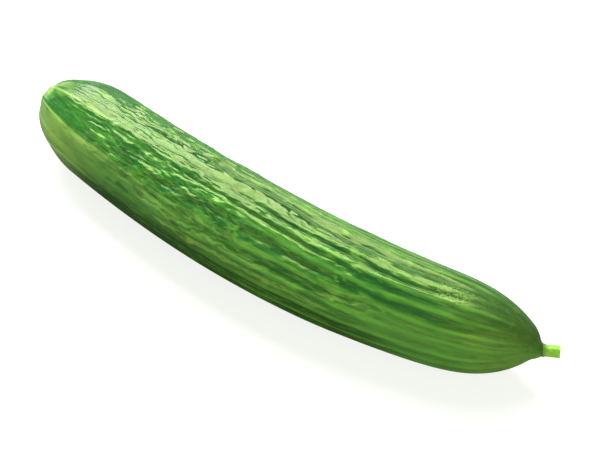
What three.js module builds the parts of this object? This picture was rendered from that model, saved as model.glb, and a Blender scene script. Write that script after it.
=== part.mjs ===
// A long seedless cucumber with its stub of cut stem, lying on its side.
// Millimetres. X runs from the blossom end to the stem end, and +Z is up.
// The origin is on the surface that it lies on, under the middle of the whole.

import * as THREE from "three";

const { degToRad, lerp, smoothstep } = THREE.MathUtils;

// The line through the fruit's middle, which bows sideways towards -Y.
const CHORD = 297; // straight distance between the line's two ends
const BOW = 22.7; // how far its middle leaves that chord
const BEND_PLACE = 32.7; // where it bends most, beyond the middle towards the stem

// The plain fruit, before its relief.
const FRUIT_RADIUS = 25.4; // at its thickest
const BELLY = 0.155; // share of the radius that is lost towards both ends
const BLOSSOM_EXCESS = 0.035; // share by which the blossom half is fuller
const CAP_LENGTH = 40.5; // rounded blossom end
const SHOULDER_LENGTH = 63.2; // drawn-in stem end
const SHOULDER_DRAW = 4.0; // how late the shoulder draws in
const SHOULDER_POINT = 1.0; // how pointed it ends
const SHOULDER_RISE = 1.2; // how far the shoulder lifts off the surface
const ROOT_DROP = 2.4; // how far below the middle line the stem's root is
const ROOT_SLOPE_RADIUS = 8.5; // from here inwards the skin slopes down to the root
const SEAT_DEPTH = 0.3; // how much of the underside is flattened by lying

// Near the blossom end ten low ridges stand between flats. Past them twenty round ribs with
// narrow furrows grow up, and they sink again where they run together at the stem.
// Heights are those of a crest over its furrow, and places are shares of the length.
const RIBS = 20;
const RIB_HEIGHT = 0.95;
const BLOSSOM_RIB_HEIGHT = 0.1;
const STEM_RIB_HEIGHT = 0.22;
const RIB_MIDDLE = 0.6; // the share of a rib's height that lies under the plain outline
const RIBS_START = 0.18;
const RIBS_FULL = 0.5;
const RIBS_FADE = 0.71;
const RIBS_FADED = 0.92;
const RIDGE_HEIGHT = 0.6;
const STEM_RIDGE_HEIGHT = 0.2;
const RIB_TWIST = degToRad(7); // turn of the ribs over the fruit's whole length
const LOBES = 3; // the three seed chambers swell the section slightly
const LOBE_HEIGHT = 0.3;
const FULL_RELIEF_RADIUS = 14; // the relief fades on rings smaller than this

// Puckers: uneven bumps, each kind with its length along the fruit, its count round it,
// how far and how often its rows wander, the length of its slant and its share of the height.
const PUCKER_HEIGHT = 0.42;
const PUCKER_KINDS = [
  { length: 26, count: 13, wander: 2.2, turns: 7, slant: 31, share: 0.6 },
  { length: 17, count: 21, wander: 3.1, turns: 5, slant: -23, share: 0.4 },
];

// The puckers start behind the scar and fade towards the stem and on the underside.
// The places are shares of the fruit's length.
const PUCKERS_START = 0.02;
const PUCKERS_FULL = 0.14;
const PUCKERS_FADE = 0.5;
const PUCKERS_FADED = 0.85;
const STEM_END_PUCKERS = 0.15; // what is left of them at the stem end
const UNDERSIDE_PUCKERS = 0.35; // what is left of them underneath

// The scar of the fallen flower is a low button in a dimple.
const DIMPLE_DEPTH = 1.3;
const DIMPLE_RADIUS = 4.2;
const SCAR_HEIGHT = 0.7;
const SCAR_RADIUS = 1.7;

// The stem stub, five-angled, with its root in a crease of the shoulder.
const STEM_LENGTH = 7.5;
const STEM_RADIUS = 2.5; // at its root
const STEM_FLARE = 0.16; // share that it widens by towards the cut
const STEM_ANGLES = 5;
const STEM_ANGLE_HEIGHT = 0.16;
const STEM_KINK = degToRad(7); // it goes on round the bend a little faster than the fruit
const STEM_GAP = 0.3; // clear space between the stem and the fruit's end disc
const ROOT_RADIUS = 2.8; // the fruit's end disc, which the stem stands on
const CREASE_DEPTH = 0.5;
const CREASE_RADIUS = 4.0;
const CREASE_WIDTH = 1.3;

// Fineness of the facets.
const COLUMNS = 4 * RIBS; // a crest, a furrow and two flanks for each rib
const CAP_ROWS = 11;
const BODY_ROWS = 36;
const SHOULDER_ROWS = 12;
const STEM_COLUMNS = 4 * STEM_ANGLES;
const STEM_ROWS = 6;

const QUARTER_TURN = Math.PI / 2;
const FULL_TURN = 2 * Math.PI;

const middleLine = new THREE.QuadraticBezierCurve3(
  new THREE.Vector3(-CHORD / 2, 0, 0),
  new THREE.Vector3(BEND_PLACE, -2 * BOW, 0),
  new THREE.Vector3(CHORD / 2, 0, 0),
);
const fruitLength = middleLine.getLength();

// A point beside the middle line: at a place along it, at an angle that starts on the
// bowed side and rises over the top, round a centre at the given height.
function pointAround(place, radius, angle, height) {
  const along = THREE.MathUtils.clamp(place / fruitLength, 0, 1);
  const heading = middleLine.getTangentAt(along);
  const beyond = place - along * fruitLength;
  const point = middleLine.getPointAt(along).addScaledVector(heading, beyond);
  const outwards = -Math.cos(angle) * radius;
  point.x -= heading.y * outwards;
  point.y += heading.x * outwards;
  point.z = height + Math.sin(angle) * radius;
  return point;
}

function bodyRadius(place) {
  const fromMiddle = (2 * place) / fruitLength - 1;
  return FRUIT_RADIUS * (1 - BELLY * fromMiddle ** 2) * (1 - BLOSSOM_EXCESS * fromMiddle);
}

// Height of the middle line over the surface. The underside is straight along the body.
// Round the stem's root the rings slide down, so the stem stands below the shoulder's middle.
function lineHeight(place, radius) {
  const shoulder = Math.max((place - fruitLength) / SHOULDER_LENGTH + 1, 0);
  const rise = SHOULDER_RISE * Math.min(shoulder, 1) ** 2;
  const drop = shoulder > 0 ? 1 - smoothstep(radius, ROOT_RADIUS, ROOT_SLOPE_RADIUS) : 0;
  return bodyRadius(place) - SEAT_DEPTH + rise - (SHOULDER_RISE + ROOT_DROP) * drop;
}

// The plain outline, as places along the middle line with the radius at each.
function fruitOutline() {
  const outline = [];
  for (let row = 1; row < CAP_ROWS; row += 1) {
    const angle = QUARTER_TURN * (row / CAP_ROWS) ** 1.35;
    const place = CAP_LENGTH * (1 - Math.cos(angle));
    outline.push({ place, radius: bodyRadius(place) * Math.sin(angle) });
  }
  const shoulderStart = fruitLength - SHOULDER_LENGTH;
  for (let row = 0; row < BODY_ROWS; row += 1) {
    const place = lerp(CAP_LENGTH, shoulderStart, row / BODY_ROWS);
    outline.push({ place, radius: bodyRadius(place) });
  }
  for (let row = 0; row <= SHOULDER_ROWS; row += 1) {
    const along = Math.sin((QUARTER_TURN * row) / SHOULDER_ROWS);
    const place = shoulderStart + SHOULDER_LENGTH * along;
    const draw = (1 - along ** SHOULDER_DRAW) ** SHOULDER_POINT;
    const root = ROOT_RADIUS * along ** 6;
    outline.push({ place, radius: bodyRadius(place) * draw + root });
  }
  return outline;
}

function ribHeight(along, angle) {
  const grown = smoothstep(along, RIBS_START, RIBS_FULL);
  const faded = smoothstep(along, RIBS_FADE, RIBS_FADED);
  const height = lerp(lerp(BLOSSOM_RIB_HEIGHT, RIB_HEIGHT, grown), STEM_RIB_HEIGHT, faded);
  const ribs = height * (Math.abs(Math.cos(0.5 * RIBS * angle)) - RIB_MIDDLE);
  const ridges = 0.5 * lerp(RIDGE_HEIGHT, STEM_RIDGE_HEIGHT, grown) * Math.cos(0.5 * RIBS * angle);
  return ribs + ridges;
}

function puckerHeight(place, angle) {
  const along = place / fruitLength;
  const start = smoothstep(along, PUCKERS_START, PUCKERS_FULL);
  const fade = lerp(1, STEM_END_PUCKERS, smoothstep(along, PUCKERS_FADE, PUCKERS_FADED));
  const facingUp = lerp(UNDERSIDE_PUCKERS, 1, smoothstep(Math.sin(angle), -0.7, 0.5));
  let bumps = 0;
  for (const { length, count, wander, turns, slant, share } of PUCKER_KINDS) {
    const row = Math.sin((FULL_TURN * place) / length + wander * Math.sin(turns * angle));
    bumps += share * row * Math.sin(count * angle + place / slant);
  }
  return PUCKER_HEIGHT * start * fade * facingUp * bumps;
}

// Height of the skin over the plain outline, from its ribs, lobes and puckers.
function reliefHeight(place, radius, angle) {
  const fullness = smoothstep(radius, ROOT_RADIUS, FULL_RELIEF_RADIUS);
  const lobes = LOBE_HEIGHT * Math.sin(LOBES * (angle + QUARTER_TURN));
  return fullness * (ribHeight(place / fruitLength, angle) + lobes + puckerHeight(place, angle));
}

// How far the skin draws back into the fruit near the scar and round the stem.
function endDraw(place, radius) {
  if (place < CAP_LENGTH) {
    const dimple = DIMPLE_DEPTH * Math.exp(-((radius / DIMPLE_RADIUS) ** 2));
    return dimple - SCAR_HEIGHT * Math.exp(-((radius / SCAR_RADIUS) ** 2));
  }
  if (radius > ROOT_RADIUS && place > fruitLength - SHOULDER_LENGTH) {
    return -CREASE_DEPTH * Math.exp(-(((radius - CREASE_RADIUS) / CREASE_WIDTH) ** 2));
  }
  return 0;
}

// Rings of points over the fruit. Columns follow the ribs, and none lies below the surface.
function fruitRings() {
  const outline = fruitOutline();
  return outline.map(({ place, radius }, row) => {
    const before = outline[Math.max(row - 1, 0)];
    const after = outline[Math.min(row + 1, outline.length - 1)];
    const slope = Math.atan2(after.radius - before.radius, after.place - before.place);
    const height = lineHeight(place, radius);
    const twist = RIB_TWIST * (place / fruitLength - 0.5);
    const ring = [];
    for (let column = 0; column < COLUMNS; column += 1) {
      const angle = (FULL_TURN * column) / COLUMNS;
      const relief = reliefHeight(place, radius, angle);
      const reliefPlace = place + endDraw(place, radius) - relief * Math.sin(slope);
      const reliefRadius = radius + relief * Math.cos(slope);
      const point = pointAround(reliefPlace, reliefRadius, angle + twist, height);
      point.z = Math.max(point.z, 0);
      ring.push(point);
    }
    return ring;
  });
}

// Rings of points along the stem, from its root to its cut.
function stemRings() {
  const rootHeading = middleLine.getTangentAt(1);
  const rootTurn = Math.atan2(rootHeading.y, rootHeading.x);
  const middle = middleLine.getPointAt(1).addScaledVector(rootHeading, STEM_GAP);
  middle.z = lineHeight(fruitLength, ROOT_RADIUS);
  const rings = [];
  for (let row = 0; row <= STEM_ROWS; row += 1) {
    const along = row / STEM_ROWS;
    const turn = rootTurn + STEM_KINK * smoothstep(along, 0, 0.6);
    const flare = 1 + STEM_FLARE * smoothstep(along, 0, 0.7);
    const ring = [];
    for (let column = 0; column < STEM_COLUMNS; column += 1) {
      const angle = (FULL_TURN * column) / STEM_COLUMNS;
      const radius = flare * (STEM_RADIUS + STEM_ANGLE_HEIGHT * Math.cos(STEM_ANGLES * angle));
      const outwards = -Math.cos(angle) * radius;
      const side = new THREE.Vector3(-Math.sin(turn), Math.cos(turn), 0);
      const point = middle.clone().addScaledVector(side, outwards);
      point.z += Math.sin(angle) * radius;
      ring.push(point);
    }
    rings.push(ring);
    const step = STEM_LENGTH / STEM_ROWS;
    middle.add(new THREE.Vector3(Math.cos(turn) * step, Math.sin(turn) * step, 0));
  }
  return rings;
}

function ringMiddle(ring) {
  const sum = ring.reduce((total, point) => total.add(point), new THREE.Vector3());
  return sum.divideScalar(ring.length);
}

// One closed skin over rings of points, with a fan of facets over each end.
function closedSkin(rings, firstMiddle, lastMiddle) {
  const columns = rings[0].length;
  const points = [...rings.flat(), firstMiddle, lastMiddle];
  const first = points.length - 2;
  const last = points.length - 1;
  const at = (row, column) => row * columns + (column % columns);
  const facets = [];
  for (let column = 0; column < columns; column += 1) {
    facets.push(first, at(0, column), at(0, column + 1));
    for (let row = 0; row < rings.length - 1; row += 1) {
      facets.push(at(row, column), at(row + 1, column), at(row + 1, column + 1));
      facets.push(at(row, column), at(row + 1, column + 1), at(row, column + 1));
    }
    facets.push(last, at(rings.length - 1, column + 1), at(rings.length - 1, column));
  }
  const skin = new THREE.BufferGeometry().setFromPoints(points);
  skin.setIndex(facets);
  skin.computeVertexNormals();
  return skin;
}

function namedPiece(name, geometry, material) {
  const piece = new THREE.Mesh(geometry, material);
  piece.name = name;
  return piece;
}

function fruit() {
  const rings = fruitRings();
  const scarPlace = DIMPLE_DEPTH - SCAR_HEIGHT;
  const scarMiddle = pointAround(scarPlace, 0, 0, lineHeight(0, 0));
  const skin = closedSkin(rings, scarMiddle, ringMiddle(rings.at(-1)));
  const waxyGreen = new THREE.MeshStandardMaterial({ color: 0x4a7d36, roughness: 0.35 });
  return namedPiece("fruit", skin, waxyGreen);
}

function stem() {
  const rings = stemRings();
  const skin = closedSkin(rings, ringMiddle(rings[0]), ringMiddle(rings.at(-1)));
  const freshGreen = new THREE.MeshStandardMaterial({ color: 0x8cbf45, roughness: 0.55 });
  return namedPiece("stem", skin, freshGreen);
}

const cucumber = new THREE.Group();
cucumber.add(fruit(), stem());

const box = new THREE.Box3().setFromObject(cucumber);
const middle = box.getCenter(new THREE.Vector3());
cucumber.position.set(-middle.x, -middle.y, -box.min.z);

const group = new THREE.Group();
group.add(cucumber);
export default group;
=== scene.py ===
"""A long seedless cucumber with its stub of cut stem, lying on a pale floor in soft light.

Everything is in metres. +X runs from the blossom end to the stem end, +Z is up, and the
fruit's middle bows towards -Y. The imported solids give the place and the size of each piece.
"""

import logging
import math
from collections.abc import Callable, Iterable
from dataclasses import dataclass, field
from enum import Enum
from functools import partial
from typing import Any

import bpy
import numpy as np
from mathutils import Matrix, Vector


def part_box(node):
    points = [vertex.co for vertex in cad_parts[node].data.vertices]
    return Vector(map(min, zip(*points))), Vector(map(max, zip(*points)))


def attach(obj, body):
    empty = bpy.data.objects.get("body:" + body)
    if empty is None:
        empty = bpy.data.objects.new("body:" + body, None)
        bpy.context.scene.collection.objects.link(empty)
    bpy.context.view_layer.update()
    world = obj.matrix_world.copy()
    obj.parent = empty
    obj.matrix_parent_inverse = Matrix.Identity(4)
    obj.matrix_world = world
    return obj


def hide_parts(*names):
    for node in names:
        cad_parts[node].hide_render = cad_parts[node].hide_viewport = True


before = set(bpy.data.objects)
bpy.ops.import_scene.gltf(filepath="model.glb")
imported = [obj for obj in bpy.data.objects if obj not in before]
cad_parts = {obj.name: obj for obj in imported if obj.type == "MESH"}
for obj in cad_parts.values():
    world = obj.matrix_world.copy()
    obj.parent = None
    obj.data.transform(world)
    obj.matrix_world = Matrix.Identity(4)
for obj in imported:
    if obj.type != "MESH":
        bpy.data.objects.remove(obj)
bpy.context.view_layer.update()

LOG = logging.getLogger("cucumber")

MM = 0.001
DEGREE = math.radians(1)
TAU = 2 * math.pi
QUARTER_TURN = math.pi / 2
NOISE_GAIN = 1.4

Array = np.ndarray
Values = np.ndarray | float
Pair = tuple[float, float]
Point = tuple[float, float, float]
Colour = tuple[float, float, float, float]


# ---- small helpers


def linear(hex_colour: str) -> Colour:
    """Turns an sRGB hex colour, six digits after a hash sign, into linear light."""
    shares = [int(hex_colour[i : i + 2], 16) / 255 for i in (1, 3, 5)]
    return (*(s / 12.92 if s <= 0.04045 else ((s + 0.055) / 1.055) ** 2.4 for s in shares), 1.0)


def smooth(value: Values, low: float, high: float) -> Values:
    """Rises smoothly from 0 at low to 1 at high."""
    share = np.clip((value - low) / (high - low), 0, 1)
    return share * share * (3 - 2 * share)


def lerp(start: Values, end: Values, share: Values) -> Values:
    """Goes from start to end as share goes from 0 to 1."""
    return start + (end - start) * share


def bell(value: Values) -> Values:
    """Falls smoothly from 1 at 0 to nothing on both sides."""
    return np.exp(-(value**2))


@dataclass(frozen=True)
class Ramp:
    """A smooth rise from 0 at one limit to 1 at the other."""

    low: float
    high: float
    unit: float = 1.0

    def __call__(self, value: Values) -> Values:
        """The share of the rise that a value has reached."""
        return smooth(value, self.low * self.unit, self.high * self.unit)


@dataclass(frozen=True)
class Stretch:
    """A rise from 0 at start to 1 at full, and a fall from fade back to 0 at end."""

    start: float
    full: float
    fade: float
    end: float
    unit: float = 1.0

    def __call__(self, value: Values) -> Values:
        """How far inside the stretch a value lies."""
        rise, fall = Ramp(self.start, self.full, self.unit), Ramp(self.fade, self.end, self.unit)
        return rise(value) * (1 - fall(value))


@dataclass(frozen=True)
class SkinNoise:
    """Smooth uneven bumps over the skin, which meet themselves round the fruit.

    One bump has the given length in millimetres along the fruit, and count of them fit
    round it.
    """

    length: float
    count: int
    seed: int

    def __call__(self, place: Array, angle: Array) -> Array:
        """Works the bumps out.

        Args:
            place: places along the fruit, in metres.
            angle: angles round it, in radians.

        Returns:
            Values from about -1 to 1.
        """
        row = place / (self.length * MM) + 2
        column = np.mod(angle, TAU) / TAU * self.count
        draws = np.random.default_rng(self.seed)
        turns = draws.uniform(0, TAU, (int(row.max()) + 3, self.count))
        low_row, low_column = np.floor(row).astype(int), np.floor(column).astype(int)
        row_share, column_share = row - low_row, column - low_column

        def corner(row_step: int, column_step: int) -> Array:
            """The pull of one corner of the lattice."""
            turn = turns[low_row + row_step, (low_column + column_step) % self.count]
            return np.cos(turn) * (row_share - row_step) + np.sin(turn) * (column_share - column_step)

        def ease(share: Array) -> Array:
            """Levels the pull out at the lattice's lines."""
            return share**3 * (share * (share * 6 - 15) + 10)

        near = lerp(corner(0, 0), corner(0, 1), ease(column_share))
        far = lerp(corner(1, 0), corner(1, 1), ease(column_share))
        return NOISE_GAIN * lerp(near, far, ease(row_share))


def deselect_all() -> None:
    """Clears the selection, so that an operator acts on the new piece alone."""
    bpy.ops.object.select_all(action="DESELECT")


def add_node(
    tree: bpy.types.NodeTree,
    kind: str,
    inputs: dict[str | int, Any] | None = None,
    stops: Iterable[tuple[float, Colour]] = (),
    output: str | int = 0,
    **settings: Any,
) -> bpy.types.NodeSocket | None:
    """Adds a shader node with its settings and links.

    Args:
        tree: the material's node tree.
        kind: the node's type, without its ShaderNode prefix.
        inputs: for each input, a value or the output that is linked to it.
        stops: places and colours of a colour ramp.
        output: the output that is wanted, by name or number.
        settings: the node's own settings.

    Returns:
        That output, or nothing from a node that has none.
    """
    node = tree.nodes.new(f"ShaderNode{kind}")
    for name, value in settings.items():
        setattr(node, name, value)
    for name, value in (inputs or {}).items():
        if isinstance(value, bpy.types.NodeSocket):
            tree.links.new(value, node.inputs[name])
        else:
            node.inputs[name].default_value = value
    for index, (position, colour) in enumerate(stops):
        elements = node.color_ramp.elements
        element = elements[index] if index < 2 else elements.new(position)
        element.position, element.color = position, colour
    return node.outputs[output] if node.outputs else None


def new_material(name: str) -> tuple[bpy.types.Material, Callable[..., bpy.types.NodeSocket]]:
    """Makes an empty node material.

    Args:
        name: the material's name.

    Returns:
        The material, and the function that adds a node to it.
    """
    material = bpy.data.materials.new(name)
    material.use_nodes = True
    material.node_tree.nodes.clear()
    return material, partial(add_node, material.node_tree)


# ---- form of the fruit


@dataclass
class MiddleLine:
    """The line through the fruit's middle, a parabola that bows towards -Y."""

    chord: float = 297 * MM
    bow: float = 22.7 * MM
    bend_place: float = 32.7 * MM
    samples: int = 2001

    def __post_init__(self) -> None:
        """Samples the parabola and measures the way along it."""
        share = np.linspace(0, 1, self.samples)
        half = self.chord / 2
        self.x = -half * (1 - share) ** 2 + 2 * self.bend_place * share * (1 - share) + half * share**2
        self.y = -4 * self.bow * share * (1 - share)
        steps = np.hypot(np.diff(self.x), np.diff(self.y))
        self.places = np.concatenate([[0], np.cumsum(steps)])
        self.length = float(self.places[-1])
        self.headings = np.arctan2(np.gradient(self.y), np.gradient(self.x))

    def at(self, place: Values) -> tuple[Values, ...]:
        """The x, the y and the heading in radians, at places along the line in metres."""
        return tuple(np.interp(place, self.places, known) for known in (self.x, self.y, self.headings))


@dataclass
class FruitForm:
    """The plain fruit: a round section that changes along the middle line."""

    line: MiddleLine = field(default_factory=MiddleLine)
    radius: float = 25.4 * MM
    belly: float = 0.155
    blossom_excess: float = 0.035
    cap_length: float = 40.5 * MM
    shoulder_length: float = 63.2 * MM
    shoulder_draw: float = 4.0
    shoulder_rise: float = 1.2 * MM
    root_drop: float = 2.4 * MM
    root_slope_radius: float = 8.5 * MM
    root_radius: float = 2.8 * MM
    seat_depth: float = 0.3 * MM
    end_crowding: float = 1.6
    end_reach: float = 9 * MM
    end_samples: int = 400
    body_samples: int = 50

    def body_radius(self, place: Values) -> Values:
        """The radius that the body has, or would have if its ends went on."""
        from_middle = 2 * place / self.line.length - 1
        return self.radius * (1 - self.belly * from_middle**2) * (1 - self.blossom_excess * from_middle)

    def line_height(self, place: Values, radius: Values) -> Values:
        """Height of a ring's middle over the floor.

        Args:
            place: the ring's place along the fruit.
            radius: the ring's radius.

        Returns:
            The height. The underside is straight, and the stem's root hangs a little low.
        """
        shoulder = np.clip((place - self.line.length) / self.shoulder_length + 1, 0, 1)
        at_root = np.where(shoulder > 0, 1 - smooth(radius, self.root_radius, self.root_slope_radius), 0)
        rise = self.shoulder_rise * shoulder**2 - (self.shoulder_rise + self.root_drop) * at_root
        return self.body_radius(place) - self.seat_depth + rise

    def outline(self, rows: int) -> tuple[Array, Array]:
        """Rings from the scar's middle to the middle of the end disc.

        Args:
            rows: how many spaces lie between the rings, which crowd at both ends.

        Returns:
            The rings' places along the fruit and their radii.
        """
        length = self.line.length
        turn = np.linspace(0, QUARTER_TURN, self.end_samples)
        along = np.sin(turn)
        cap = self.cap_length * (1 - np.cos(turn))
        body = np.linspace(self.cap_length, length - self.shoulder_length, self.body_samples)[1:-1]
        shoulder = length - self.shoulder_length * (1 - along)
        draw = np.maximum(1 - along**self.shoulder_draw, 0)
        drawn = self.body_radius(shoulder) * draw + self.root_radius * along**6
        place = np.concatenate([cap, body, shoulder, [length]])
        radius = np.concatenate([self.body_radius(cap) * along, self.body_radius(body), drawn, [0]])
        travel = np.concatenate([[0], np.cumsum(np.hypot(np.diff(place), np.diff(radius)))])
        to_end = np.minimum(travel, travel[-1] - travel)
        density = 1 + self.end_crowding * np.exp(-to_end / self.end_reach)
        middles = (density[1:] + density[:-1]) / 2
        weight = np.concatenate([[0], np.cumsum(np.diff(travel) * middles)])
        wanted = np.linspace(0, weight[-1], rows + 1)
        return np.interp(wanted, weight, place), np.interp(wanted, weight, radius)


class PuckerForm(Enum):
    """How one kind of pucker is cut from uneven noise."""

    PILLOW = "broad pads with a narrow furrow between them"
    RIDGE = "narrow wrinkles that stand up"
    BLISTER = "single bumps on a plain ground"

    def shape(self, noise: Array) -> Array:
        """Turns noise into the pucker's heights.

        Args:
            noise: values from about -1 to 1.

        Returns:
            Heights from 0 to 1.
        """
        if self is PuckerForm.PILLOW:
            return 1 - bell(noise / 0.22)
        if self is PuckerForm.RIDGE:
            return bell(noise / 0.25)
        return smooth(noise, -0.05, 0.6)


@dataclass(frozen=True)
class Puckers:
    """One kind of pucker in the skin, longer along the fruit than across it."""

    form: PuckerForm
    noise: SkinNoise
    height: float


@dataclass(frozen=True)
class SkinSpot:
    """A soft-edged spot of skin, and how much of something it has at its middle.

    Its place and reach along the fruit are in millimetres, its angle and spread in degrees.
    """

    place: float
    reach: float
    angle: float
    spread: float
    amount: float

    def __call__(self, place: Array, angle: Array) -> Array:
        """The amount at places and angles of the skin, given in metres and radians."""
        turn = np.sin((angle - self.angle * DEGREE) / 2) * 2 / (self.spread * DEGREE)
        return self.amount * bell((place / MM - self.place) / self.reach) * bell(turn)


@dataclass(frozen=True)
class SkinPoints:
    """Points of the skin, and how near each one is to a crest, from 0 to 1."""

    place: Array
    angle: Array
    rib: Array
    main_rib: Array
    pucker: Array
    pillow: Array


@dataclass
class Relief:
    """The ribs, lobes and puckers that stand on the plain fruit.

    Angles are counted from the front over the top. The ramps upper, low, top and
    grooved_upper are over the angle's sine, front and back are over its cosine, and the
    others run along the fruit.
    """

    ribs: int = 20
    rib_height: float = 1.55 * MM
    blossom_rib_height: float = 0.1 * MM
    stem_rib_height: float = 0.22 * MM
    rib_middle: float = 0.7
    crest_flatness: float = 0.29
    furrow_rounding: float = 0.01
    ribs_rise: Ramp = Ramp(55, 150, MM)
    ribs_sink: Ramp = Ramp(235, 280, MM)
    front_ribs_sink: Ramp = Ramp(188, 222, MM)
    front: Ramp = Ramp(0.37, 0.45)
    ridge_height: float = 0.3 * MM
    stem_ridge_height: float = 0.1 * MM
    # The ribs are nearly worn off along the top of the blossom half.
    worn_angle: float = 86 * DEGREE
    worn_width: float = 0.08
    worn_share: float = 0.85
    worn_end: Ramp = Ramp(125, 165, MM)
    # Behind the top the ribs stand up more and the puckers less.
    back: Ramp = Ramp(-0.05, 0.2)
    back_rise: Ramp = Ramp(105, 145, MM)
    back_rib_gain: float = 0.4
    back_pucker_loss: float = 0.55
    # Each spot turns the ribs by its amount in degrees. At the last one they lean over.
    twist: float = 7 * DEGREE
    shifts: tuple[SkinSpot, ...] = (
        SkinSpot(85, 60, 80, 45, -8),
        SkinSpot(12, 30, 40, 28, -8),
        SkinSpot(265, 50, 74, 60, 2.5),
        SkinSpot(160, 40, 64, 12, -3),
        SkinSpot(168, 42, 84, 18, 10),
        SkinSpot(115, 45, 114, 16, -6),
        SkinSpot(240, 34, 72, 16, 4),
        SkinSpot(152, 32, 78, 30, -7),
        SkinSpot(232, 30, 82, 20, 4),
        SkinSpot(165, 40, 104, 13, -5),
    )
    lean: SkinSpot = SkinSpot(155, 55, 70, 18, 0.9)
    pale_shift: float = 1.3
    waves: SkinNoise = SkinNoise(28, 16, 21)
    wave: float = 2.4 * DEGREE
    coarse_warps: SkinNoise = SkinNoise(10, 36, 31)
    fine_warps: SkinNoise = SkinNoise(5, 72, 32)
    warp: float = 3.4 * DEGREE
    lobes: int = 3
    lobe_height: float = 0.3 * MM
    full_radius: float = 14 * MM
    kinds: tuple[Puckers, ...] = (
        Puckers(PuckerForm.PILLOW, SkinNoise(24, 46, 11), 0.36 * MM),
        Puckers(PuckerForm.BLISTER, SkinNoise(12, 34, 12), 0.8 * MM),
        Puckers(PuckerForm.RIDGE, SkinNoise(9, 64, 13), 0.32 * MM),
    )
    # The puckers rise past the blossom end, ease off and nearly end at the stem.
    puckers_rise: Ramp = Ramp(18, 70, MM)
    puckers_ease: Ramp = Ramp(125, 165, MM)
    eased_puckers: float = 0.64
    puckers_sink: Ramp = Ramp(195, 270, MM)
    stem_puckers: float = 0.12
    upper: Ramp = Ramp(0.5, 0.7)
    low: Ramp = Ramp(-0.3, 0.3)
    low_rise: Ramp = Ramp(85, 125, MM)
    low_puckers: Pair = (0.05, 0.8)
    top: Ramp = Ramp(0.94, 0.98)
    top_end: Ramp = Ramp(110, 160, MM)
    top_pucker_loss: float = 0.6
    # Fine grooves run along the upper side of the blossom half.
    grooves: SkinNoise = SkinNoise(30, 76, 51)
    groove_depth: float = 0.23 * MM
    groove_width: float = 0.3
    grooved: Stretch = Stretch(4, 16, 110, 160, MM)
    grooved_upper: Ramp = Ramp(0.7, 0.9)
    dimple_depth: float = 1.3 * MM
    dimple_radius: float = 4.2 * MM
    scar_height: float = 0.7 * MM
    scar_radius: float = 1.7 * MM
    crease_depth: float = 0.5 * MM
    crease_radius: float = 4.0 * MM
    crease_width: float = 1.3 * MM

    def top_calm(self, place: Array, sine: Array) -> Array:
        """What is left of the puckers on the very top, which is calm on the blossom half."""
        return 1 - self.top_pucker_loss * self.top(sine) * (1 - self.top_end(place))

    def roughness(self, place: Array, angle: Array) -> Array:
        """How strong the puckers are: most on the upper half, past the blossom end.

        Args:
            place: places along the fruit, in metres.
            angle: angles round the fruit.

        Returns:
            Shares from 0 to 1.
        """
        sine = np.sin(angle)
        start = self.puckers_rise(place) * self.top_calm(place, sine)
        eased = lerp(1, self.eased_puckers, self.puckers_ease(place))
        fade = lerp(eased, self.stem_puckers, self.puckers_sink(place))
        low_side = lerp(*self.low_puckers, self.low_rise(place)) * self.low(sine)
        facing = lerp(low_side, 1, self.upper(sine))
        return start * fade * facing * (1 - self.back_pucker_loss * self.behind(place, angle))

    def behind(self, place: Array, angle: Array) -> Array:
        """How far a point lies behind the top, past the blossom end."""
        return self.back(-np.cos(angle)) * self.back_rise(place)

    def rib_angle(self, place: Array, angle: Array) -> Array:
        """Angles as the ribs count them, which wander a little, with 0 on the first main rib."""
        counted = angle + self.wave * self.waves(place, angle)
        return counted + sum(shift(place, angle) for shift in self.shifts) * DEGREE

    def rib_height_at(self, place: Array, angle: Array) -> Array:
        """How high the ribs stand: most past the middle, and least at both ends.

        Args:
            place: places along the fruit.
            angle: angles round the fruit.

        Returns:
            Heights in metres, from a furrow to a crest.
        """
        height = lerp(self.blossom_rib_height, self.rib_height, self.ribs_rise(place))
        in_front = self.front(np.cos(angle))
        sunk = lerp(self.ribs_sink(place), self.front_ribs_sink(place), in_front)
        height = lerp(height, self.stem_rib_height, sunk)
        worn = bell(np.sin((angle - self.worn_angle) / 2) / self.worn_width)
        height = height * (1 - self.worn_share * worn * (1 - self.worn_end(place)))
        return height * (1 + self.back_rib_gain * self.behind(place, angle))

    def at(self, place: Array, radius: Array, angle: Array, form: FruitForm) -> tuple[Array, SkinPoints]:
        """Heights over the plain skin.

        Args:
            place: places along the fruit.
            radius: radii of the rings that the points are on.
            angle: angles round the fruit, before its twist.
            form: the plain fruit.

        Returns:
            The heights in metres, and the points with their nearness to a crest.
        """
        rib_angle = self.rib_angle(place, angle)
        count = 0.5 * self.ribs * rib_angle
        main_ribs = np.cos(count)
        lean = self.lean(place, angle)
        count = count + 0.5 * lean * np.cos(2 * count)
        every_rib = (np.cos(count) ** 2 + self.furrow_rounding) ** self.crest_flatness
        height = self.rib_height_at(place, angle) * (every_rib - self.rib_middle)
        height += lerp(self.ridge_height, self.stem_ridge_height, self.ribs_rise(place)) * main_ribs
        height += self.lobe_height * np.sin(self.lobes * (angle + QUARTER_TURN))
        warp = self.coarse_warps(place, angle) + 0.5 * self.fine_warps(place, angle)
        waved = rib_angle + self.warp * warp
        bumps, crests = np.zeros_like(place), np.zeros_like(place)
        for kind in self.kinds:
            share = kind.form.shape(kind.noise(place, waved))
            bumps += kind.height * (share - 0.5)
            crests += share / len(self.kinds)
            if kind.form is PuckerForm.PILLOW:
                pillows = share
        height += self.roughness(place, angle) * bumps
        fullness = smooth(radius, form.root_radius, self.full_radius)
        groove = bell(self.grooves(place, waved) / self.groove_width)
        groove *= self.grooved(place) * self.grooved_upper(np.sin(angle))
        height -= self.groove_depth * groove
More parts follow.
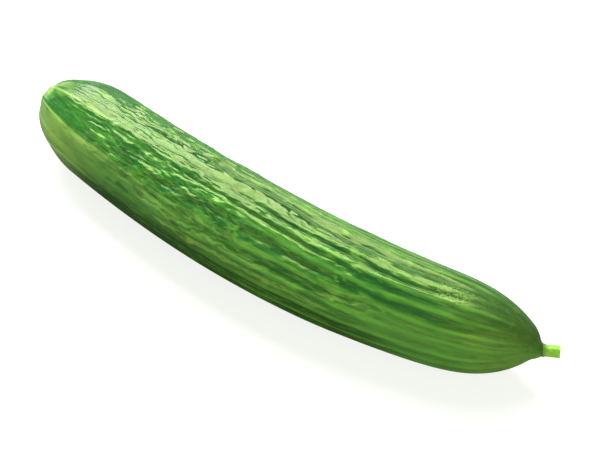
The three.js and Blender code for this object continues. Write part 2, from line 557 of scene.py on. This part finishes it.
        # The paler crests lie a little up the slope where the ribs lean over.
        pale_rib = 0.5 + 0.5 * np.cos(2 * count - self.pale_shift * lean)
        skin = SkinPoints(place, angle, pale_rib, 0.5 + 0.5 * main_ribs, crests, pillows)
        return fullness * height, skin

    def end_draw(self, place: Array, radius: Array, form: FruitForm) -> Array:
        """How far the skin draws back into the fruit round the scar and round the stem.

        Args:
            place: places along the fruit.
            radius: radii of the rings.
            form: the plain fruit.

        Returns:
            Shifts along the middle line, towards the stem where positive.
        """
        dimple = self.dimple_depth * bell(radius / self.dimple_radius)
        scar = self.scar_height * bell(radius / self.scar_radius)
        crease = self.crease_depth * bell((radius - self.crease_radius) / self.crease_width)
        at_stem = (place > form.line.length - form.shoulder_length) & (radius > form.root_radius)
        return np.where(place < form.cap_length, dimple - scar, np.where(at_stem, -crease, 0))


# ---- finishes


class MapName(Enum):
    """Names of the values that the fruit's skin carries for its finish."""

    UNBENT = "unbent"
    STRIPE_AND_LIT_TOPS = "pale_stripe_and_lit_top"
    STREAK = "streak"
    FURROW_SHADE = "furrow"
    BELLY = "belly"
    PAINTED_SHADE = "painted_shade"
    LIT_PALE = "pale"
    TOP = "top"
    ROUGH = "rough"
    SMOOTH = "smooth"
    PAINTED_GLINTS = "painted_glints"


@dataclass(frozen=True)
class SkinPattern:
    """Where the skin is striped, streaked and yellowed, and where light and shade are painted on it, from 0
    to 1 at each point.

    A ramp whose name ends in side is over how far the skin faces up, from -1 to 1. The
    ramps ridge_front, top_shade_reach and glints_reach are over the cosine of an angle,
    lines_cut over its noise, and rib_stripe, lit_pucker_top, ridge_crest, valley and
    pucker_furrow over the nearness to a crest or a furrow. The others run along the fruit.
    """

    # The belly is yellowed, partly the rind's own ground spot and partly a painted reflection of the light
    # low in front; its edge is sharp near the blossom end and soft past it.
    belly_edge: float = math.sin(38 * DEGREE)
    belly_waves: SkinNoise = SkinNoise(14, 30, 41)
    edge_wave: float = 0.035
    sharp_blur: float = 0.03
    soft_blur: float = 0.25
    blurred: Ramp = Ramp(110, 190, MM)
    belly_loss: float = 0.3
    belly_fade: Ramp = Ramp(220, 290, MM)
    # Paler striping follows the ribs and breaks up here and there, and painted light makes the pucker tops
    # paler.
    striped: Ramp = Ramp(100, 185, MM)
    stripes_fade: Ramp = Ramp(268, 296, MM)
    faded_stripe: float = 0.1
    top_stripe: float = 0.4
    rib_stripe: Ramp = Ramp(0.55, 0.97)
    lit_pucker_top: Ramp = Ramp(0.6, 0.85)
    lit_puckers_rise: Ramp = Ramp(70, 150, MM)
    lit_top_share: float = 0.7
    breaks: SkinNoise = SkinNoise(12, 60, 43)
    stripe_unevenness: float = 0.35
    # Pale lines and ridges start at the scar, with a pale patch beside it.
    lines: SkinNoise = SkinNoise(60, 44, 42)
    lines_cut: Ramp = Ramp(0.05, 0.4)
    lines_start: float = 3 * MM
    lines_ends: Pair = (70 * MM, 34 * MM)
    lines_side: Ramp = Ramp(0.3, 0.6)
    lines_share: float = 0.7
    ridge_crest: Ramp = Ramp(0.955, 0.995)
    ridges_fade: Ramp = Ramp(25, 85, MM)
    ridge_breaks: SkinNoise = SkinNoise(9, 70, 44)
    ridge_unevenness: float = 0.3
    ridge_front: Ramp = Ramp(-0.1, 0.1)
    patch: SkinSpot = SkinSpot(9, 5, 70, 16, 1.0)
    # Painted shade darkens the furrows between the ribs, between the puckers and along the pillows.
    valley: Ramp = Ramp(0.42, 0.88)
    valleys: Stretch = Stretch(60, 130, 245, 280, MM)
    valley_side: Ramp = Ramp(0.5, 0.75)
    low_valley: float = 0.35
    pucker_furrow: Ramp = Ramp(0.35, 0.85)
    puckered: Stretch = Stretch(20, 90, 200, 270, MM)
    puckered_side: Ramp = Ramp(-0.1, 0.4)
    full_side: Ramp = Ramp(0.5, 0.7)
    part_share: float = 0.85
    pillow_crease_shade: Stretch = Stretch(85, 125, 205, 260, MM)
    crease_shade_side: Stretch = Stretch(0.1, 0.3, 0.8, 0.9)
    # A smooth dark line runs just behind the top; its darkness is painted shade.
    line_ends: Pair = (104.5 * DEGREE, 96 * DEGREE)
    line_turn: Ramp = Ramp(80, 180, MM)
    line_waves: SkinNoise = SkinNoise(16, 20, 45)
    line_wave: float = 1 * DEGREE
    line_spread: float = 4.6 * DEGREE
    line_reach: Stretch = Stretch(50, 80, 185, 235, MM)
    line_depth: float = 0.6
    line_polish: float = 0.8
    # Painted shade darkens the underside and the top of the shoulder.
    under_side: Ramp = Ramp(-0.25, 0.48)
    under_rise: Ramp = Ramp(25, 80, MM)
    under_fade: Ramp = Ramp(205, 265, MM)
    blossom_under: float = 0.35
    shoulder: Ramp = Ramp(245, 292, MM)
    shoulder_share: float = 0.7
    shoulder_side: Ramp = Ramp(0.4, 0.95)
    # Painted light makes the belly paler near the blossom end, where it mirrors bright light, and under the
    # raised shoulder.
    pale_fade: Ramp = Ramp(15, 92, MM)
    # Painted shade darkens the top, reaching further behind it than in front.
    top_shade_angle: float = 97 * DEGREE
    back_widening: float = 0.55
    top_shade_reach: Ramp = Ramp(0.86, 0.97)
    least_wrinkled: float = 0.12
    fine: Stretch = Stretch(25, 60, 130, 170, MM)
    fine_side: Ramp = Ramp(0.75, 0.95)
    fine_share: float = 0.6
    # A small patch near the stem has painted glints: paler specks where the highlight ends.
    painted_glints: Stretch = Stretch(230, 256, 262, 280, MM)
    glints_angle: float = 79 * DEGREE
    glints_reach: Ramp = Ramp(0.96, 0.985)

    def back_line(self, place: Array, angle: Array) -> Array:
        """How near each point is to the dark line behind the top."""
        middle = lerp(*self.line_ends, self.line_turn(place)) + self.line_wave * self.line_waves(place, angle)
        return bell((angle - middle) / self.line_spread) * self.line_reach(place)

    def streaks(self, skin: SkinPoints, facing: Array) -> Array:
        """How pale each point is with the lines, ridges and patch round the scar.

        Args:
            skin: the points.
            facing: how far each one faces up.

        Returns:
            Shares from 0 to 1.
        """
        place, angle = skin.place, skin.angle
        lines = self.lines_cut(self.lines(place, angle))
        lines_end = lerp(*self.lines_ends, self.lines_side(facing))
        lines *= 1 - smooth(place, self.lines_start, lines_end)
        ridges = self.ridge_crest(skin.main_rib) * (1 - self.ridges_fade(place))
        ridges *= lerp(1, self.ridge_breaks(place, angle), self.ridge_unevenness)
        ridges *= self.ridge_front(np.cos(angle))
        return np.maximum.reduce([self.lines_share * lines, ridges, self.patch(place, angle)])

    def furrows(self, skin: SkinPoints, facing: Array, puckered: Array) -> Array:
        """How dark each point is with the painted shade in the furrows.

        Args:
            skin: the points.
            facing: how far each one faces up.
            puckered: how far its puckers are coloured.

        Returns:
            Shares from 0 to 1.
        """
        # painted shade in the furrows between the ribs
        valleys = self.valley(1 - skin.rib) * self.valleys(skin.place)
        valleys *= lerp(self.low_valley, 1, self.valley_side(facing))
        # painted shade along the creases between the pillows
        pillow_crease_shade = (1 - skin.pillow) * self.pillow_crease_shade(skin.place) * self.crease_shade_side(facing)
        # painted shade between the puckers
        between = self.pucker_furrow(1 - skin.pucker) * puckered
        return np.maximum.reduce([between, valleys, self.part_share * pillow_crease_shade])

    def maps(self, skin: SkinPoints, relief: Relief) -> dict[MapName, Array]:
        """Works the maps out.

        Args:
            skin: the points.
            relief: the relief that the maps follow.

        Returns:
            Each map's values by its name.
        """
        place, angle = skin.place, skin.angle
        facing = np.sin(angle + relief.twist * (place / place.max() - 0.5))
        back_line = self.back_line(place, angle)
        puckered = self.puckered(place) * relief.top_calm(place, facing)
        puckered *= lerp(self.part_share, 1, self.full_side(facing)) * self.puckered_side(facing)
        striped = self.striped(place) * lerp(1, self.faded_stripe, self.stripes_fade(place))
        striped *= lerp(1, self.breaks(place, angle), self.stripe_unevenness)
        striped *= lerp(1, self.top_stripe, relief.top(facing))
        rib_stripes = self.rib_stripe(skin.rib) * striped
        # painted light on the pucker tops
        lit_pucker_tops = self.lit_pucker_top(skin.pucker) * puckered * self.lit_puckers_rise(place)
        stripes_and_lit_tops = np.maximum(rib_stripes, self.lit_top_share * lit_pucker_tops)
        furrows = self.furrows(skin, facing, puckered)
        # the belly's yellow is partly the rind's ground spot and partly painted reflection
        blur = lerp(self.sharp_blur, self.soft_blur, self.blurred(place))
        edge = self.belly_edge + self.edge_wave * self.belly_waves(place, angle)
        belly = 1 - smooth(facing, edge - blur, edge + blur)
        under = 1 - self.under_side(facing)
        # painted shade on the underside
        painted_shade = lerp(self.blossom_under, 1, self.under_rise(place)) * (1 - self.under_fade(place)) * under
        shoulder = self.shoulder_share * self.shoulder(place)
        upper_shoulder = shoulder * self.shoulder_side(facing)
        # painted shade along the top
        off_top = angle - self.top_shade_angle
        off_top = np.where(off_top > 0, self.back_widening, 1) * off_top
        fine = self.fine_share * self.fine(place) * self.fine_side(facing)
        rough = lerp(self.least_wrinkled, 1, np.maximum(relief.roughness(place, angle), fine))
        # painted glints where the highlight ends
        painted_glints = self.glints_reach(np.cos(angle - self.glints_angle))
        return {
            MapName.STRIPE_AND_LIT_TOPS: stripes_and_lit_tops * (1 - back_line),
            MapName.STREAK: self.streaks(skin, facing),
            MapName.FURROW_SHADE: furrows * (1 - back_line),
            MapName.BELLY: belly * (1 - self.belly_loss * self.belly_fade(place)),
            # painted shade on the underside, the shoulder's top and the line behind the top
            MapName.PAINTED_SHADE: np.maximum.reduce([painted_shade, upper_shoulder, self.line_depth * back_line]),
            # painted light
            MapName.LIT_PALE: np.maximum(belly * (1 - self.pale_fade(place)), shoulder * under),
            MapName.TOP: self.top_shade_reach(np.cos(off_top)),
            MapName.ROUGH: rough * (1 - self.line_polish * back_line),
            MapName.SMOOTH: back_line,
            MapName.PAINTED_GLINTS: painted_glints * self.painted_glints(place),
        }


@dataclass(frozen=True)
class WaxySkin:
    """Cucumber rind under its own wax bloom.

    The rind is green with paler ribs of its own and a yellower belly that is partly its own. Painted shade
    darkens its furrows, top and underside; painted light brightens its pucker tops, parts of its belly and
    specks near the stem.
    The thin wax is smooth, so it mirrors a bright room in clean-edged patches that break up on the puckers.
    """

    length: float
    dark: str = "#245e29"
    green: str = "#367630"
    # green of the painted shade in the furrows, also used for the darker mottle and grain
    furrow: str = "#165029"
    # paler green of the rib striping, the painted light on pucker tops, and the paler wrinkles, grain and
    # mottle
    pale_stripe_and_lit_top: str = "#6fae45"
    # green of the painted shade along the top
    top_shade: str = "#225528"
    # belly green: partly the rind's ground spot, partly painted reflection
    belly: str = "#5e8f48"
    # green of the painted shade
    painted_shade: str = "#233f18"
    # green of the painted light on the belly near the blossom end and under the shoulder
    pale: str = "#93b25c"
    stem_end: str = "#466630"
    streak: str = "#aed070"
    scar: str = "#b3c94a"
    gloss: str = "#e6ff80"
    roughness: float = 0.15
    mottle: float = 3.0 * MM
    grain: float = 1.1 * MM
    wrinkle: float = 2.6 * MM
    # size of the painted glint specks
    glint_size: float = 1.0 * MM

    def make(self) -> bpy.types.Material:
        """Makes the material from the values that the skin carries.

        Returns:
            The material.
        """
        material, add = new_material("waxy_cucumber_skin")
        unbent = add("Attribute", output="Vector", attribute_name=MapName.UNBENT.value)
        share = {
            name: add("Attribute", output="Fac", attribute_name=name.value)
            for name in MapName
            if name is not MapName.UNBENT
        }
        place = add("SeparateXYZ", {0: unbent})

        # Mottles and grain both run with the ribs, a few times as long as they are wide.
        stretched = add("Mapping", {"Vector": unbent, "Scale": (0.2, 1, 1)})
        mottle = add("TexNoise", {"Vector": stretched, "Scale": 1 / self.mottle, "Detail": 4.0})
        grain = add("TexNoise", {"Vector": stretched, "Scale": 1 / self.grain, "Detail": 3.0})
        bends = {"Vector": stretched, "Scale": 1 / self.wrinkle, "Detail": 2.0, "Distortion": 0.7}
        waves = add("TexNoise", bends)
        white, black = linear("#ffffff"), linear("#000000")
        wrinkle = add("ValToRGB", {"Fac": waves}, stops=[(0.4, black), (0.5, white), (0.6, black)])
        wrinkled = add("Math", {0: wrinkle, 1: share[MapName.ROUGH]}, operation="MULTIPLY")
        # noise for the painted glint specks
        glint_noise = add("TexNoise", {"Vector": unbent, "Scale": 1 / self.glint_size, "Detail": 2.0})
        painted_glints = add("Math", {0: glint_noise, 1: share[MapName.PAINTED_GLINTS]}, operation="MULTIPLY")
        ground = [(0.35, linear(self.dark)), (0.65, linear(self.green))]
        colour = add("ValToRGB", {"Fac": mottle}, stops=ground)
        layers = (
            (place, 0.7 * self.length, 0.99 * self.length, 0.9, self.stem_end),
            # painted shade along the top
            (share[MapName.TOP], 0.0, 1.0, 0.8, self.top_shade),
            # belly: partly the rind's ground spot, partly painted reflection
            (share[MapName.BELLY], 0.0, 1.0, 0.85, self.belly),
            # painted shade in the furrows
            (share[MapName.FURROW_SHADE], 0.25, 0.9, 0.85, self.furrow),
            # painted light
            (share[MapName.LIT_PALE], 0.0, 1.0, 0.7, self.pale),
            (wrinkled, 0.3, 1.0, 0.35, self.pale_stripe_and_lit_top),
            # painted shade
            (share[MapName.PAINTED_SHADE], 0.0, 1.0, 0.9, self.painted_shade),
            (grain, 0.5, 0.75, 0.2, self.pale_stripe_and_lit_top),
            (grain, 0.45, 0.25, 0.3, self.furrow),
            (share[MapName.STREAK], 0.0, 1.0, 0.75, self.streak),
            (mottle, 0.55, 0.3, 0.3, self.furrow),
            (mottle, 0.5, 0.75, 0.25, self.pale_stripe_and_lit_top),
            (place, 0.7 * self.length, 0.98 * self.length, 0.45, self.stem_end),
            # the rind's own rib striping, with painted light on the pucker tops
            (share[MapName.STRIPE_AND_LIT_TOPS], 0.0, 1.0, 0.6, self.pale_stripe_and_lit_top),
            # painted glints
            (painted_glints, 0.42, 0.66, 0.34, self.streak),
            (place, 3.2 * MM, 1.2 * MM, 0.9, self.scar),
        )
        for value, low, high, most, laid in layers:
            limits = {"Value": value, 1: low, 2: high, 3: 0.0, 4: most}
            amount = add("MapRange", limits, interpolation_type="SMOOTHSTEP")
            colour = add("MixRGB", {"Fac": amount, "Color1": colour, "Color2": linear(laid)})

        # The wax wears dull towards the stem and round the scar, lies thin in the furrows and
        # is smoothest along the dark line.
        worn = add("Math", {0: mottle, 1: 0.35 * self.length, 2: place}, operation="MULTIPLY_ADD")
        handled = add("Math", {0: mottle, 1: -30 * MM, 2: place}, operation="MULTIPLY_ADD")
        wear = (
            (worn, 0.99 * self.length, 1.13 * self.length, self.roughness, 0.45),
            (share[MapName.FURROW_SHADE], 0.2, 1.0, 0.0, 0.2),
            (handled, 0.0, 95 * MM, 0.15, 0.0),
            (share[MapName.SMOOTH], 0.0, 0.8, 0.0, -0.1),
        )
        roughness = 0.0
        for value, low, high, start, end in wear:
            added = add("MapRange", {"Value": value, 1: low, 2: high, 3: start, 4: end})
            roughness = add("Math", {0: roughness, 1: added}, operation="ADD")
        bump = add("Bump", {"Height": wrinkled, "Strength": 0.5, "Distance": 0.1 * MM})
        bump = add("Bump", {"Height": grain, "Strength": 0.5, "Distance": 0.03 * MM, "Normal": bump})
        wax = {
            "Base Color": colour,
            "Roughness": roughness,
            "Normal": bump,
            "IOR": 1.46,
            "Specular Tint": linear(self.gloss),
            "Subsurface Weight": 0.06,
            "Subsurface Radius": (0.5, 1.0, 0.25),
            "Subsurface Scale": 1.5 * MM,
        }
        add("OutputMaterial", {"Surface": add("BsdfPrincipled", wax)})
        return material


@dataclass(frozen=True)
class FreshStalk:
    """Cut cucumber stalk: pale juicy green with darker cords, and a paler cut face."""

    root: Vector
    heading: Vector
    length: float
    light: str = "#93c63a"
    dark: str = "#7ab032"
    root_green: str = "#5f8433"
    cut: str = "#d8e8a4"
    fibre: float = 0.9 * MM

    def make(self) -> bpy.types.Material:
        """Makes the material on coordinates that run from the stalk's root.

        Returns:
            The material.
        """
        material, add = new_material("fresh_cut_stalk")
        coordinates = add("TexCoord", output="Object")
        from_root = add("VectorMath", {0: coordinates, 1: self.root}, operation="SUBTRACT")
        toward_cut = {0: from_root, 1: self.heading}
        along = add("VectorMath", toward_cut, output="Value", operation="DOT_PRODUCT")
        fibres = add("TexNoise", {"Vector": from_root, "Scale": 1 / self.fibre, "Detail": 3.0})
        ground = [(0.35, linear(self.dark)), (0.62, linear(self.light))]
        green = add("ValToRGB", {"Fac": fibres}, stops=ground)
        layers = (
            (2.2 * MM, 0.0, 0.85, self.root_green),
            (self.length - 0.35 * MM, self.length - 0.1 * MM, 1.0, self.cut),
        )
        for low, high, most, laid in layers:
            amount = add("MapRange", {"Value": along, 1: low, 2: high, 3: 0.0, 4: most})
            green = add("MixRGB", {"Fac": amount, "Color1": green, "Color2": linear(laid)})
        stalk = {
            "Base Color": green,
            "Roughness": 0.5,
            "Normal": add("Bump", {"Height": fibres, "Strength": 0.5, "Distance": 0.1 * MM}),
            "IOR": 1.45,
            "Subsurface Weight": 0.9,
            "Subsurface Radius": (0.8, 1.0, 0.4),
            "Subsurface Scale": 3 * MM,
        }
        add("OutputMaterial", {"Surface": add("BsdfPrincipled", stalk)})
        return material


@dataclass(frozen=True)
class StudioPaper:
    """A matt sheet with a faint mottle. The white one glows a little, as glass lit from below."""

    white: str = "#969695"
    shade: str = "#8e8e8d"
    glow: float = 0.8
    mottle: float = 0.1

    def make(self) -> bpy.types.Material:
        """Makes the material with a faint mottle a hand wide.

        Returns:
            The material.
        """
        material, add = new_material("studio_paper")
        coordinates = add("TexCoord", output="Object")
        mottle = add("TexNoise", {"Vector": coordinates, "Scale": 1 / self.mottle})
        tones = {"Fac": mottle, "Color1": linear(self.white), "Color2": linear(self.shade)}
        paper = {"Base Color": add("MixRGB", tones), "Roughness": 0.9, "Emission Strength": self.glow}
        add("OutputMaterial", {"Surface": add("BsdfPrincipled", paper)})
        return material


# ---- pieces


@dataclass
class Fruit:
    """The whole fruit, one skin from its scar to the disc that the stem stands on."""

    form: FruitForm = field(default_factory=FruitForm)
    relief: Relief = field(default_factory=Relief)
    pattern: SkinPattern = field(default_factory=SkinPattern)
    rows: int = 356
    columns: int = 276
    crowding: float = 0.3
    seam: float = 0.002 * MM

    def shift_to_frame(self, points: Array) -> Array:
        """The shift in x and y that brings the fruit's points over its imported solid."""
        wanted = np.mean(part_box("fruit"), axis=0)[:2]
        return wanted - (points[:, :2].min(0) + points[:, :2].max(0)) / 2

    def skin(self, along_share: Array, around_share: Array) -> tuple[Array, dict[MapName, Array]]:
        """Works out the skin's points and the values that they carry.

        Args:
            along_share: each point's share of the way along the grid.
            around_share: each point's share of the way round.

        Returns:
            The points round the middle line, and each map's values.
        """
        form, relief = self.form, self.relief
        places, radii = form.outline(self.rows)
        row = along_share * self.rows
        index = np.arange(self.rows + 1)
        slopes = np.arctan2(np.gradient(radii), np.gradient(places))
        place, radius, slope = (np.interp(row, index, known) for known in (places, radii, slopes))
        angle = around_share * TAU - QUARTER_TURN + self.crowding * np.sin(around_share * TAU)
        height, skin = relief.at(place, radius, angle, form)
        turned = angle + relief.twist * (place / form.line.length - 0.5)
        skin_place = place + relief.end_draw(place, radius, form) - height * np.sin(slope)
        skin_radius = radius + height * np.cos(slope)
        x, y, heading = form.line.at(place)
        beyond = skin_place - place
        outwards = -np.cos(turned) * skin_radius
        x = x + beyond * np.cos(heading) - np.sin(heading) * outwards
        y = y + beyond * np.sin(heading) + np.cos(heading) * outwards
        z = form.line_height(place, radius) + np.sin(turned) * skin_radius
        points = np.stack([x, y, np.maximum(z, 0)], axis=1)
        unbent = np.stack([place, radius * np.cos(turned), radius * np.sin(turned)], axis=1)
        return points, {MapName.UNBENT: unbent, **self.pattern.maps(skin, relief)}

    def build(self) -> tuple[bpy.types.Object, Array]:
        """Rolls a fine grid up into the fruit, closes it and gives it its finish.

        Returns:
            The finished piece, and the shift from the middle line's own frame.
        """
        deselect_all()
        bpy.ops.mesh.primitive_grid_add(x_subdivisions=self.rows, y_subdivisions=self.columns, size=1)
        piece = bpy.context.object
        piece.name = piece.data.name = "fruit_skin"
        mesh = piece.data
        flat = np.zeros(len(mesh.vertices) * 3)
        mesh.vertices.foreach_get("co", flat)
        flat = flat.reshape(-1, 3) + 0.5
        points, carried = self.skin(flat[:, 0], flat[:, 1])
        shift = self.shift_to_frame(points)
        points[:, :2] += shift
        mesh.vertices.foreach_set("co", points.astype(np.float32).ravel())
        for name, values in carried.items():
            kind, key = ("FLOAT_VECTOR", "vector") if values.ndim == 2 else ("FLOAT", "value")
            layer = mesh.attributes.new(name.value, kind, "POINT")
            layer.data.foreach_set(key, values.astype(np.float32).ravel())
        mesh.uv_layers[0].name = "OFBake"
        bpy.ops.object.mode_set(mode="EDIT")
        bpy.ops.mesh.select_all(action="SELECT")
        bpy.ops.mesh.remove_doubles(threshold=self.seam)
        bpy.ops.mesh.normals_make_consistent(inside=False)
        bpy.ops.object.mode_set(mode="OBJECT")
        bpy.ops.object.shade_smooth()
        piece.data.materials.append(WaxySkin(self.form.line.length).make())
        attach(piece, "root")
        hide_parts("fruit")
        return piece, shift


@dataclass
class Stem:
    """The stub of cut stalk, five-angled, which widens at its root and towards its cut."""

    form: FruitForm
    shift: Array
    length: float = 7.5 * MM
    sunk: float = 0.6 * MM
    radius: float = 2.5 * MM
    flare: float = 0.16
    widening: Ramp = Ramp(0, 0.7)
    root_flare: float = 0.5
    root_reach: float = 1.1 * MM
    angles: int = 5
    angle_height: float = 0.16 * MM
    kink: float = 7 * DEGREE
    gap: float = 0.3 * MM
    steps: int = 12
    columns: int = 40
    cut_rings: tuple[Pair, ...] = ((0.3, 0.05), (0.7, -0.12), (0.7, -0.1))

    def __post_init__(self) -> None:
        """Finds the root and the heading at the middle line's end."""
        x, y, heading = self.form.line.at(self.form.line.length)
        height = self.form.line_height(self.form.line.length, self.form.root_radius)
        self.turn = float(heading) + self.kink
        self.heading = Vector((math.cos(self.turn), math.sin(self.turn), 0))
        self.root = Vector((float(x) + self.shift[0], float(y) + self.shift[1], float(height)))
        self.reach = self.length + self.gap

    def width(self, along: float) -> float:
        """The stalk's width at a place along it, against its width at the root."""
        widening = 1 + self.flare * float(self.widening(along / self.length))
        return widening + self.root_flare * math.exp(-(along + self.sunk) / self.root_reach)

    def build(self) -> bpy.types.Object:
        """Extrudes the five-angled section to the cut, works the cut face and gives the finish.

        Returns:
            The finished piece.
        """
        deselect_all()
        start = self.root - self.heading * self.sunk
        bpy.ops.mesh.primitive_circle_add(
            vertices=self.columns,
            radius=self.radius,
            fill_type="NGON",
            location=start,
            rotation=(QUARTER_TURN, 0, self.turn + QUARTER_TURN),
        )
        piece = bpy.context.object
        piece.name = piece.data.name = "stem_stub"
        bpy.ops.object.transform_apply(location=True, rotation=True, scale=True)
        for vertex in piece.data.vertices:
            spoke = vertex.co - start
            side = spoke.dot(Vector((-self.heading.y, self.heading.x, 0)))
            angle = math.atan2(spoke.z, -side)
            ridge = self.angle_height * math.cos(self.angles * angle)
            vertex.co = start + spoke * self.width(-self.sunk) * (1 + ridge / self.radius)
        bpy.ops.object.mode_set(mode="EDIT")
        bpy.ops.mesh.select_all(action="SELECT")
        self.extrude_stalk()
        self.work_cut_face()
        bpy.ops.mesh.select_all(action="SELECT")
        bpy.ops.mesh.normals_make_consistent(inside=False)
        bpy.ops.object.mode_set(mode="OBJECT")
        rounding = piece.modifiers.new("rounding", "SUBSURF")
        rounding.levels = rounding.render_levels = 2
        bpy.ops.object.modifier_apply(modifier=rounding.name)
        bpy.ops.object.shade_smooth()
        piece.data.materials.append(FreshStalk(self.root, self.heading, self.reach).make())
        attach(piece, "root")
        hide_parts("stem")
        return piece

    def extrude_stalk(self) -> None:
        """Extrudes the selected section to the cut, with its width at each step."""
        ends = np.linspace(-self.sunk, self.reach, self.steps + 1)
        for before, after in zip(ends[:-1], ends[1:]):
            move = self.heading * float(after - before)
            bpy.ops.mesh.extrude_region_move(TRANSFORM_OT_translate={"value": move})
            scale = self.width(after) / self.width(before)
            centre = self.root + self.heading * float(after)
            bpy.ops.transform.resize(value=(scale, scale, scale), center_override=centre)

    def work_cut_face(self) -> None:
        """Insets the cut face: a low rim, the ring of cords and the sunken pith."""
        for width, rise in self.cut_rings:
            bpy.ops.mesh.inset(thickness=width * MM, depth=rise * MM)


# ---- studio


@dataclass
class SoftLight:
    """One soft rectangular light, which faces the cucumber.

    Its brightness is that of its face, where white paper in full view has 1.
    """

    name: str
    place: Point
    size: Pair
    brightness: float
    colour: str = "#ffffff"
    long_side: Point = (1, 0, 0)

    def add(self, target: Vector) -> None:
        """Adds the light and lays its long side as given.

        Args:
            target: the point that its face is turned to.
        """
        data = bpy.data.lights.new(self.name, "AREA")
        data.shape = "RECTANGLE"
        data.size, data.size_y = self.size
        data.energy = self.brightness * math.pi * self.size[0] * self.size[1]
        data.color = linear(self.colour)[:3]
        light = bpy.data.objects.new(self.name, data)
        light.location = self.place
        away = (Vector(self.place) - target).normalized()
        long_side = Vector(self.long_side)
        long_side = (long_side - away * long_side.dot(away)).normalized()
        light.rotation_mode = "QUATERNION"
        axes = Matrix((long_side, away.cross(long_side), away))
        light.rotation_quaternion = axes.transposed().to_quaternion()
        bpy.context.scene.collection.objects.link(light)


@dataclass
class Studio:
    """The floor, the lights and the camera."""

    shift: Array
    floor_size: float = 8.0
    room_colour: str = "#e2f2b8"
    room_light: float = 0.32
    azimuth: float = 35.64 * DEGREE
    elevation: float = 45 * DEGREE
    distance: float = 1.1
    aim: Point = (11.15 * MM, -2.14 * MM, 22 * MM)
    lens: float = 135.588
    sensor: float = 36.0
    clip: Pair = (0.05, 50)
    lights: tuple[SoftLight, ...] = (
        SoftLight("softbox", (-0.481, 0.456, 0.761), (1.21, 0.665), 10.7, long_side=(0.867, 0, 0.498)),
        SoftLight("back_card", (-0.37, 0.95, 0.2), (0.33, 0.38), 2.0, "#e8ffc4"),
        SoftLight("front_card", (-0.55, -0.8, 0.17), (1.3, 0.33), 3.2, "#f8ffdc", (0.82, -0.57, 0)),
        SoftLight("side_card", (0.75, -0.5, 0.22), (0.9, 0.4), 4.0, "#f8ffdc", (0.55, 0.83, 0)),
    )

    def add_floor(self) -> None:
        """Lays a green-grey table and the bright white backdrop over it.

        The backdrop shows only directly. The cucumber is lit by the table and mirrors it.
        """
        table = self.add_sheet("studio_table", -0.5 * MM, StudioPaper("#64726b", "#5f6c65", glow=0))
        backdrop = self.add_sheet("studio_floor", 0, StudioPaper())
        backdrop.visible_diffuse = False
        backdrop.visible_glossy = False
        backdrop.visible_transmission = False
        backdrop.visible_shadow = False

    def add_sheet(self, name: str, height: float, paper: StudioPaper) -> bpy.types.Object:
        """Lays one large sheet of paper.

        Args:
            name: the sheet's name.
            height: its height over the floor.
            paper: its finish.

        Returns:
            The sheet.
        """
        deselect_all()
        bpy.ops.mesh.primitive_plane_add(size=self.floor_size, location=(0, 0, height))
        sheet = bpy.context.object
        sheet.name = name
        sheet.data.materials.append(paper.make())
        return sheet

    def add_world(self) -> None:
        """Fills the room with a dim even light."""
        world = bpy.data.worlds.new("studio_room")
        bpy.context.scene.world = world
        world.use_nodes = True
        background = world.node_tree.nodes["Background"]
        background.inputs["Color"].default_value = linear(self.room_colour)
        background.inputs["Strength"].default_value = self.room_light

    def add_camera(self) -> None:
        """Looks down on the cucumber from its bowed side, with the stem end nearer."""
        a, e = self.azimuth, self.elevation
        back = Vector((math.sin(a) * math.cos(e), -math.cos(a) * math.cos(e), math.sin(e)))
        target = Vector(self.aim) + Vector((*self.shift, 0))
        data = bpy.data.cameras.new("camera")
        data.lens, data.sensor_width = self.lens, self.sensor
        data.clip_start, data.clip_end = self.clip
        camera = bpy.data.objects.new("camera", data)
        camera.location = target + back * self.distance
        camera.rotation_mode = "QUATERNION"
        camera.rotation_quaternion = (-back).to_track_quat("-Z", "Y")
        bpy.context.scene.collection.objects.link(camera)
        bpy.context.scene.camera = camera

    def build(self) -> None:
        """Sets the whole studio up."""
        self.add_floor()
        self.add_world()
        for light in self.lights:
            light.add(Vector(self.aim))
        self.add_camera()
        settings = bpy.context.scene.view_settings
        settings.view_transform = "Standard"
        settings.look = "None"


def report(piece: bpy.types.Object) -> None:
    """Logs a piece's size.

    Args:
        piece: the finished piece.
    """
    corners = np.array([corner[:] for corner in piece.bound_box]) / MM
    size = corners.max(0) - corners.min(0)
    triangles = sum(len(face.vertices) - 2 for face in piece.data.polygons)
    LOG.info("%s: %.1f x %.1f x %.1f mm, %d triangles", piece.name, *size, triangles)


def main() -> None:
    """Builds the cucumber and its studio."""
    logging.basicConfig(level=logging.INFO, format="%(name)s %(message)s")
    fruit = Fruit()
    fruit_piece, shift = fruit.build()
    stem_piece = Stem(fruit.form, shift).build()
    Studio(shift).build()
    for piece in (fruit_piece, stem_piece):
        report(piece)


if __name__ == "__main__":
    main()
